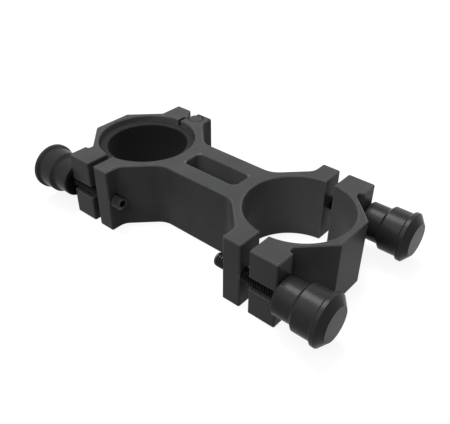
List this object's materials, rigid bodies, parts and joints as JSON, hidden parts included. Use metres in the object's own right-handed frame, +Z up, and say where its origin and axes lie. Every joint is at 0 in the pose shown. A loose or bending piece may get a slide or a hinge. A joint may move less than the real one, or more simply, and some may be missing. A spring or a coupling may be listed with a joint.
{
  "type": "tube mount",
  "caption": "Double clamp mount for two parallel tubes: one hinged ring with a reducing sleeve, one ring with a loose cap, thumb knobs on studs, slotted bridge.",
  "frame": {"origin": "on the resting plane, at the centre of the object's footprint, midway between the two ring axes", "axes": "+X from the hinged ring to the ring with the loose cap, +Y towards the hinge side, +Z up along both bores"},
  "size_m": [0.1074, 0.0548, 0.0205],
  "materials": {
    "anodised_black": "satin black anodised",
    "knob_black": "satin black anodised, turned",
    "sleeve_black": "matte black",
    "stud_steel": "black oxide",
    "washer_steel": "black oxide"
  },
  "bodies": {
    "bridge": {"bridge_body": "anodised_black", "reducing_sleeve": "sleeve_black", "left_stud": "stud_steel", "right_far_stud": "stud_steel", "right_near_stud": "stud_steel"},
    "left_cap_body": {"left_cap": "anodised_black"},
    "left_washer_body": {"left_washer": "washer_steel"},
    "left_knob_body": {"left_knob": "knob_black"},
    "right_cap_body": {"right_cap": "anodised_black", "right_far_washer": "washer_steel", "right_near_washer": "washer_steel"},
    "right_near_knob_body": {"right_near_knob": "knob_black"},
    "right_far_knob_body": {"right_far_knob": "knob_black"}
  },
  "joints": [
    {"name": "left_cap_swing", "type": "hinge", "parent": "bridge", "child": "left_cap_body", "pos_m": [-0.02615, 0.0194, 0.01025], "axis": [0, 0, -1], "range_deg": [0, 48]},
    {"name": "left_knob_run", "type": "slide", "parent": "bridge", "child": "left_washer_body", "axis": [-1, 0, 0], "range_m": [0, 0.03607]},
    {"name": "left_knob_turn", "type": "hinge", "parent": "left_washer_body", "child": "left_knob_body", "pos_m": [-0.03885, -0.0203, 0.01025], "axis": [-1, 0, 0], "continuous": true},
    {"name": "right_near_knob_turn", "type": "hinge", "parent": "right_cap_body", "child": "right_near_knob_body", "pos_m": [0.03903, -0.0203, 0.01025], "axis": [1, 0, 0], "range_deg": [0, 2160]},
    {"name": "right_far_knob_turn", "type": "hinge", "parent": "right_cap_body", "child": "right_far_knob_body", "pos_m": [0.03903, 0.0203, 0.01025], "axis": [1, 0, 0], "range_deg": [0, 2160]},
    {"name": "right_cap_travel", "type": "slide", "parent": "bridge", "child": "right_cap_body", "axis": [1, 0, 0], "range_m": [0, 0.0042]}
  ],
  "couplings": [
    {"joint": "left_knob_run", "follows": "left_cap_swing", "m_per_rad": 0.043},
    {"joint": "right_near_knob_turn", "follows": "right_cap_travel", "rad_per_m": 8976},
    {"joint": "right_far_knob_turn", "follows": "right_cap_travel", "rad_per_m": 8976}
  ]
}
